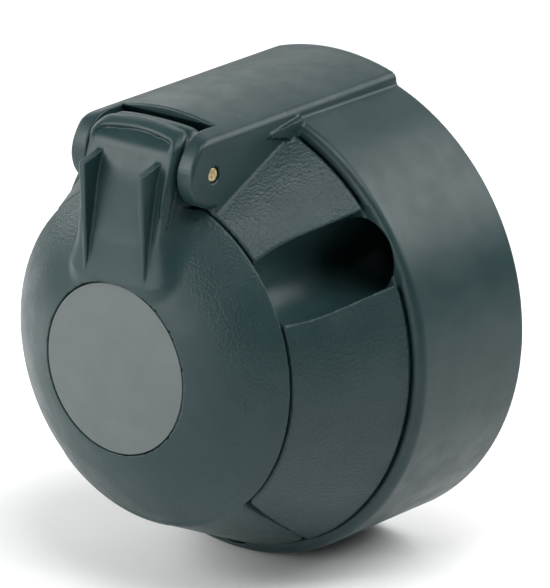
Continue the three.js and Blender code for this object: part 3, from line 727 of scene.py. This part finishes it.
def rear_seal(x, y, z):
    front, back = REAR_SEAL["front"], REAR_HIGH[1]
    r = length(x, z)
    cable = length(x, z - CABLE["z"])
    plate = meet(r - REAR_HIGH[0], slab(y, front, back), 0.35)
    groove = length(r - REAR_SEAL["groove"], y - back) - 0.5
    body = cut(plate, groove, 0.2)
    collar = meet(cable - CABLE["collar"], slab(y, REAR_LOW[1], front + 0.5), 0.5)
    body = join(body, collar, 0.5)
    for degrees in BOLT["degrees"]:
        out, across = bolt_frame(x, z, degrees)
        body = cut(body, length(out, across) - BOLT["boss"] - 0.4, 0.3)
    ridge = length(cable - REAR_SEAL["ridge"], y - back + 0.1) - 0.35
    body = cut(body, ridge, 0.1)
    return cut(body, cable - CABLE["r"], 0.4)


# ------------------------------------------------------------------------- materials


class Nodes:
    """Short way to write a material's node tree."""

    def __init__(self, name, roughness, metallic=0.0, **sockets):
        self.material = bpy.data.materials.new(name)
        self.material.use_nodes = True
        self.tree = self.material.node_tree
        self.shader = self.tree.nodes["Principled BSDF"]
        self.shader.inputs["Roughness"].default_value = roughness
        self.shader.inputs["Metallic"].default_value = metallic
        for socket, value in sockets.items():
            self.shader.inputs[socket.replace("_", " ")].default_value = value
        self.where = self.add("ShaderNodeTexCoord").outputs["Object"]

    def add(self, kind, **settings):
        node = self.tree.nodes.new(kind)
        for key, value in settings.items():
            setattr(node, key, value)
        return node

    def put(self, socket, value):
        if isinstance(value, bpy.types.NodeSocket):
            self.tree.links.new(value, socket)
        elif value is not None:
            socket.default_value = value

    def math(self, operation, a, b=None, c=None, clamp=False):
        node = self.add("ShaderNodeMath", operation=operation, use_clamp=clamp)
        for socket, value in zip(node.inputs, (a, b, c)):
            self.put(socket, value)
        return node.outputs[0]

    def ramp(self, value, low, high, to_low=0.0, to_high=1.0):
        node = self.add("ShaderNodeMapRange", interpolation_type="SMOOTHSTEP")
        for socket, part in zip(node.inputs, (value, low, high, to_low, to_high)):
            self.put(socket, part)
        return node.outputs[0]

    def noise(self, size, detail=3.0, rough=0.5, distortion=0.0, where=None):
        """Noise whose blobs are about size millimetres across."""
        node = self.add("ShaderNodeTexNoise")
        self.put(node.inputs["Vector"], where or self.where)
        node.inputs["Scale"].default_value = 1 / (size * MM)
        node.inputs["Detail"].default_value = detail
        node.inputs["Roughness"].default_value = rough
        node.inputs["Distortion"].default_value = distortion
        return node.outputs["Fac"]

    def cells(self, size, feature="F1", smooth=0.6):
        node = self.add("ShaderNodeTexVoronoi", feature=feature)
        self.put(node.inputs["Vector"], self.where)
        node.inputs["Scale"].default_value = 1 / (size * MM)
        if feature == "SMOOTH_F1":
            node.inputs["Smoothness"].default_value = smooth
        return node.outputs["Distance"]

    def axes(self):
        node = self.add("ShaderNodeSeparateXYZ")
        self.put(node.inputs[0], self.where)
        return node.outputs

    def colour(self, factor, first, second):
        """first where factor is 0 and second where it is 1, written to the base colour."""
        node = self.add("ShaderNodeMix", data_type="RGBA")
        self.put(node.inputs["Factor"], factor)
        for socket, value in ((node.inputs[6], first), (node.inputs[7], second)):
            self.put(socket, value if isinstance(value, bpy.types.NodeSocket) else (*value, 1))
        self.put(self.shader.inputs["Base Color"], node.outputs[2])
        return node.outputs[2]

    def rough(self, value):
        self.put(self.shader.inputs["Roughness"], value)

    def bump(self, height, depth, before=None):
        """Relief of a height from 0 to 1 that is depth millimetres deep."""
        node = self.add("ShaderNodeBump")
        node.inputs["Strength"].default_value = 1.0
        node.inputs["Distance"].default_value = depth * MM
        self.put(node.inputs["Height"], height)
        self.put(node.inputs["Normal"], before)
        self.put(self.shader.inputs["Normal"], node.outputs[0])
        return node.outputs[0]


SLATE = (0.011, 0.029, 0.031)
SLATE_LIGHT = (0.017, 0.038, 0.040)
# lighter slate painted on sharp edges as a highlight, standing in for light catching them
SLATE_EDGE_HIGHLIGHT = (0.035, 0.06, 0.065)


def reach_mask(n, axes, centre, near, far):
    """0 within near of an axis along Y through centre (x, z), and 1 beyond far."""
    dx = n.math("SUBTRACT", axes[0], centre[0] * MM)
    dz = n.math("SUBTRACT", axes[2], centre[1] * MM)
    square = n.math("ADD", n.math("MULTIPLY", dx, dx), n.math("MULTIPLY", dz, dz))
    return n.ramp(n.math("SQRT", square), near * MM, far * MM)


def slate(n, grain_mask, grain_size, grain_depth, mottle=9.0):
    """Shared look of the moulded slate plastic, with grain where the mask is 1 and a painted highlight
    on sharp edges.
    """
    patches = n.noise(mottle, 4, 0.62)
    fine = n.noise(0.5, 2, 0.6)
    tone = n.math("ADD", n.math("MULTIPLY", patches, 0.75), n.math("MULTIPLY", fine, 0.25))
    # painted highlight: sharp edges, found by pointiness, are mixed towards a lighter slate to stand in
    # for light catching them
    edge_highlight = n.ramp(n.add("ShaderNodeNewGeometry").outputs["Pointiness"], 0.53, 0.60, 0.0, 0.5)
    body = n.colour(n.ramp(tone, 0.3, 0.72), SLATE, SLATE_LIGHT)
    n.colour(edge_highlight, body, SLATE_EDGE_HIGHLIGHT)
    n.rough(n.ramp(n.noise(5.0, 3, 0.6), 0.3, 0.7, 0.34, 0.44))
    pebbles = n.cells(grain_size, "SMOOTH_F1", 0.6)
    creases = n.noise(grain_size * 0.6, 3, 0.65, 0.3)
    grain = n.math("ADD", n.math("MULTIPLY", pebbles, 0.9), n.math("MULTIPLY", creases, 0.35))
    smooth = n.bump(n.noise(0.35, 2, 0.55), 0.006)
    wavy = n.bump(n.noise(7.0, 2, 0.5), 0.05, smooth)
    n.bump(n.math("MULTIPLY", grain, grain_mask), grain_depth, wavy)
    return n.material


def housing_plastic():
    n = Nodes("housing_plastic", 0.5, Specular_IOR_Level=0.28)
    axes = n.axes()
    nose = n.ramp(axes[1], (CONE_BACK_Y - 0.2) * MM, (CONE_BACK_Y + 0.2) * MM, 1.0, 0.0)
    beside_hood = n.ramp(n.math("ABSOLUTE", axes[0]), (EAR_OUT - 0.1) * MM, (EAR_OUT + 0.5) * MM)
    below_hood = n.ramp(axes[2], 26 * MM, 28 * MM, 1.0, 0.0)
    mask = n.math("MULTIPLY", nose, n.math("MAXIMUM", beside_hood, below_hood))
    for degrees in BOLT["degrees"]:
        pocket = reach_mask(n, axes, around(degrees, BOLT["r"]), BOLT["pocket"], BOLT["pocket"] + 0.4)
        mask = n.math("MULTIPLY", mask, n.math("MAXIMUM", pocket, 0.15))
    return slate(n, mask, 0.46, 0.09)


def lid_plastic():
    n = Nodes("lid_plastic", 0.45, Specular_IOR_Level=0.28)
    axes = n.axes()
    outer = reach_mask(n, axes, (0, 0), 17.0, 24.0)
    beside_tab = n.ramp(n.math("ABSOLUTE", axes[0]), 9.5 * MM, 13.0 * MM)
    below_tab = n.ramp(axes[2], 15 * MM, 20 * MM, 1.0, 0.0)
    mask = n.math("MULTIPLY", outer, n.math("MAXIMUM", beside_tab, below_tab))
    return slate(n, mask, 0.40, 0.08, 12.0)


def badge_plastic():
    n = Nodes("badge_plastic", 0.36, Specular_IOR_Level=0.3)
    n.colour(n.ramp(n.noise(6.0, 4, 0.6), 0.3, 0.7), (0.082, 0.098, 0.098), (0.095, 0.112, 0.112))
    n.rough(n.ramp(n.noise(3.0, 3, 0.6), 0.3, 0.7, 0.34, 0.44))
    first = n.bump(n.noise(0.3, 2, 0.5), 0.004)
    n.bump(n.noise(9.0, 2, 0.4), 0.02, first)
    return n.material


def carrier_plastic():
    n = Nodes("carrier_plastic", 0.5)
    n.colour(n.ramp(n.noise(4.0, 3, 0.6), 0.3, 0.7), (0.026, 0.029, 0.032), (0.038, 0.042, 0.045))
    n.rough(n.ramp(n.noise(2.0, 3, 0.6), 0.3, 0.7, 0.38, 0.55))
    n.bump(n.noise(0.4, 2, 0.5), 0.008)
    return n.material


def rubber():
    n = Nodes("black_rubber", 0.8, Specular_IOR_Level=0.35)
    n.colour(n.ramp(n.noise(1.2, 4, 0.65), 0.35, 0.65), (0.014, 0.0145, 0.015), (0.028, 0.028, 0.029))
    n.rough(n.ramp(n.noise(0.8, 3, 0.6), 0.3, 0.7, 0.68, 0.88))
    n.bump(n.noise(0.25, 3, 0.6), 0.015)
    return n.material


def metal(name, dark, light, low, high, streak=None):
    """Metal with stained patches, and fine turning marks along the streak axis."""
    n = Nodes(name, 0.3, 1.0)
    n.colour(n.ramp(n.noise(1.6, 4, 0.65), 0.3, 0.7), dark, light)
    n.rough(n.ramp(n.noise(0.6, 3, 0.6), 0.3, 0.7, low, high))
    where = None
    if streak:
        mapping = n.add("ShaderNodeMapping")
        n.put(mapping.inputs["Vector"], n.where)
        mapping.inputs["Scale"].default_value = streak
        where = mapping.outputs[0]
    n.bump(n.noise(0.5, 2, 0.6, where=where), 0.006)
    return n.material


def all_materials():
    return {
        "housing_plastic": housing_plastic(),
        "lid_plastic": lid_plastic(),
        "badge_plastic": badge_plastic(),
        "carrier_plastic": carrier_plastic(),
        "black_rubber": rubber(),
        "yellow_zinc": metal("yellow_zinc", (0.42, 0.30, 0.12), (0.83, 0.70, 0.42), 0.25, 0.45),
        "contact_brass": metal("contact_brass", (0.52, 0.36, 0.13), (0.82, 0.64, 0.30), 0.18, 0.34,
                               (1, 8, 1)),
        "screw_steel": metal("screw_steel", (0.42, 0.43, 0.44), (0.70, 0.71, 0.72), 0.22, 0.4),
        "spring_steel": metal("spring_steel", (0.55, 0.56, 0.57), (0.85, 0.85, 0.86), 0.12, 0.25),
    }


# -------------------------------------------------------------------------- assembly

MATERIALS = all_materials()


def fit(piece, body, slot, *nodes):
    """Gives a new piece its finish, and says what it rides on and stands for."""
    piece.data.materials.clear()
    piece.data.materials.append(MATERIALS[slot])
    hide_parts(*nodes)
    if body:
        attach(piece, body)
    return piece


def cube_lines(low, high, step, fine_y=()):
    """Grid lines round a box with a margin on all sides."""
    pad = 3 * step
    return [ticks(low[0] - pad, high[0] + pad, step),
            ticks(low[1] - pad, high[1] + pad, step, fine_y),
            ticks(low[2] - pad, high[2] + pad, step)]


def copy_to(first, name, degrees, x, z):
    """Another piece on the same mesh, turned round Y and moved to its place."""
    place = Matrix.Translation((x * MM, 0, z * MM)) @ Matrix.Rotation(math.radians(degrees), 4, "Y")
    mesh = first.copy()
    mesh.transform(place)
    return show(name, mesh)


def build_housing():
    fine = ((BASE_FRONT_Y - 1.6, BASE_FRONT_Y + 1.0, 0.2),)
    lines = cube_lines(HOUSING_LOW, HOUSING_HIGH, GRID["housing"], fine)
    circles = [(CONE_BACK_R, CONE_BACK_Y)]
    piece = mesh_field("housing_moulding", housing, lines, circles)
    fit(piece, "housing", "housing_plastic", "socket_housing")


def build_lid():
    lines = cube_lines(LID_LOW, LID_HIGH, GRID["lid"])
    piece = mesh_field("lid_moulding", lid, lines, [(DISC_R + 0.1, DISC_Y)])
    fit(piece, "lid", "lid_plastic", "lid")
    fit(lid_disc(), "lid", "badge_plastic", "lid_badge")
    fit(seal_ring(), "lid", "black_rubber", "lid_seal")


def build_hinge():
    fit(hinge_pin(), "housing", "yellow_zinc", "hinge_pin")
    spring = fit(hinge_spring(), None, "spring_steel", "lid_spring")
    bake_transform(spring)


def build_insert():
    lines = cube_lines(CARRIER_LOW, CARRIER_HIGH, GRID["carrier"])
    piece = mesh_field("carrier_moulding", carrier, lines)
    fit(piece, "housing", "carrier_plastic", "contact_carrier")
    low, high = np.array((-3.3, CONTACT["front"], -3.3)), np.array((3.3, CONTACT["back"], 3.3))
    tube = mesh_field("contact_shape", contact_tube, cube_lines(low, high, GRID["contact"]))
    pin = mesh_field("contact_pin_shape", contact_pin, cube_lines(low, high, GRID["contact"]))
    top = CONTACT["half"] + 1.5
    low, high = np.array((-1.8, -14.0, 1.3)), np.array((1.8, -10.4, top))
    screw = mesh_field("screw_shape", terminal_screw, cube_lines(low, high, GRID["screw"]))
    for number, degrees, x, z in contact_places():
        shape = pin if number == 3 else tube
        fit(copy_to(shape.data, f"brass_contact_{number}", degrees, x, z),
            "housing", "contact_brass", f"contact_{number}")
        fit(copy_to(screw.data, f"clamp_screw_{number}", degrees, x, z),
            "housing", "screw_steel", f"terminal_screw_{number}")
    low, high = np.array((-2.7, SHOULDER_Y - 9, -2.7)), np.array((2.7, CARRIER_HIGH[1] + 2, 2.7))
    fixing = mesh_field("fixing_shape", carrier_screw, cube_lines(low, high, GRID["fixing"]))
    for i, degrees in enumerate(FIX["degrees"]):
        fit(copy_to(fixing.data, f"insert_screw_{i + 1}", 0, *around(degrees, FIX["r"])),
            "housing", "screw_steel", f"carrier_screw_{i + 1}")
    for shape in (tube, pin, screw, fixing):
        bpy.data.objects.remove(shape)
    piece = mesh_field("rear_seal_plate", rear_seal, cube_lines(REAR_LOW, REAR_HIGH, GRID["seal"]))
    fit(piece, "housing", "black_rubber", "rear_seal")


build_housing()
build_lid()
build_hinge()
build_insert()

# ----------------------------------------------------------------- stage and camera

AZIMUTH, ELEVATION = math.radians(39.8), math.radians(18.4)
DISTANCE_M = 1.0
AIM = Vector((4.3, -21.4, 4.65)) * MM
FRAME_WIDTH = 91.4


def facing(azimuth, elevation):
    """Direction from the object to a viewer or lamp there."""
    return Vector((math.sin(azimuth) * math.cos(elevation),
                   -math.cos(azimuth) * math.cos(elevation), math.sin(elevation)))


def add_camera():
    data = bpy.data.cameras.new("camera")
    data.sensor_fit, data.sensor_width = "HORIZONTAL", 36.0
    data.lens = data.sensor_width * DISTANCE_M / (FRAME_WIDTH * MM)
    data.clip_start = 0.05
    camera = show("camera", data)
    toward = facing(AZIMUTH, ELEVATION)
    camera.rotation_euler = toward.to_track_quat("Z", "Y").to_euler()
    camera.location = AIM + toward * DISTANCE_M
    bpy.context.scene.camera = camera


def softbox(name, azimuth, elevation, distance, size, power, target=(0, -0.028, 0)):
    """Square area lamp aimed at the middle of the object or at another place."""
    data = bpy.data.lights.new(name, "AREA")
    data.size, data.energy = size, power
    lamp = show(name, data)
    toward = facing(math.radians(azimuth), math.radians(elevation))
    lamp.rotation_euler = toward.to_track_quat("Z", "Y").to_euler()
    lamp.location = Vector(target) + toward * distance
    lamp.visible_camera = False


def add_stage():
    """Pale floor that rises into a wall far behind, as one smooth sheet."""
    floor_z, reach, bend = HOUSING_LOW[2] * MM - 0.0004, 1.6, 0.5
    profile = [(-reach, floor_z), (reach - bend, floor_z)]
    for i in range(1, 17):
        a = math.pi / 2 * i / 16
        profile.append((reach - bend + bend * math.sin(a), floor_z + bend * (1 - math.cos(a))))
    profile.append((reach, floor_z + 1.6))
    points = [(x, y, z) for y, z in profile for x in (-2.0, 2.0)]
    faces = [(2 * i, 2 * i + 1, 2 * i + 3, 2 * i + 2) for i in range(len(profile) - 1)]
    mesh = bpy.data.meshes.new("studio_floor")
    mesh.from_pydata(points, [], faces)
    mesh.shade_smooth()
    floor = show("studio_floor", mesh)
    turn = Matrix.Rotation(AZIMUTH, 4, "Z")
    floor.data.transform(turn)
    paper = Nodes("paper", 0.9)
    paper.colour(paper.ramp(paper.noise(40.0, 2, 0.5), 0.3, 0.7), (0.90, 0.90, 0.90), (0.92, 0.92, 0.92))
    floor.data.materials.append(paper.material)


def add_light():
    world = bpy.data.worlds.new("studio")
    world.use_nodes = True
    background = world.node_tree.nodes["Background"]
    background.inputs["Color"].default_value = (1, 1, 1, 1)
    background.inputs["Strength"].default_value = 0.02
    bpy.context.scene.world = world
    softbox("front", -5, 8, 0.6, 0.4, 1.6)
    softbox("front_left", -45, 8, 0.55, 0.4, 0.6)
    softbox("front_high", -20, 22, 0.6, 0.3, 0.3)
    softbox("top_right", 60, 70, 0.5, 0.25, 1.5)
    softbox("side_right", 118, 42, 0.5, 0.25, 1.1)
    softbox("back_right", 150, 35, 0.6, 0.4, 2.1)
    # floor left of the object, lit so that the paper stays pale there
    behind_left, beside, before_left = (-0.12, 0.14, -0.04), (-0.15, -0.03, -0.04), (-0.12, -0.17, -0.04)
    softbox("paper_back", -150, 55, 0.4, 0.35, 0.4, behind_left)
    softbox("paper_left", -110, 35, 0.45, 0.35, 0.45, behind_left)
    softbox("paper_side", -90, 45, 0.25, 0.2, 0.45, beside)
    softbox("paper_front", -45, 50, 0.25, 0.2, 0.8, before_left)
    bpy.context.scene.view_settings.view_transform = "Standard"


add_camera()
add_stage()
add_light()
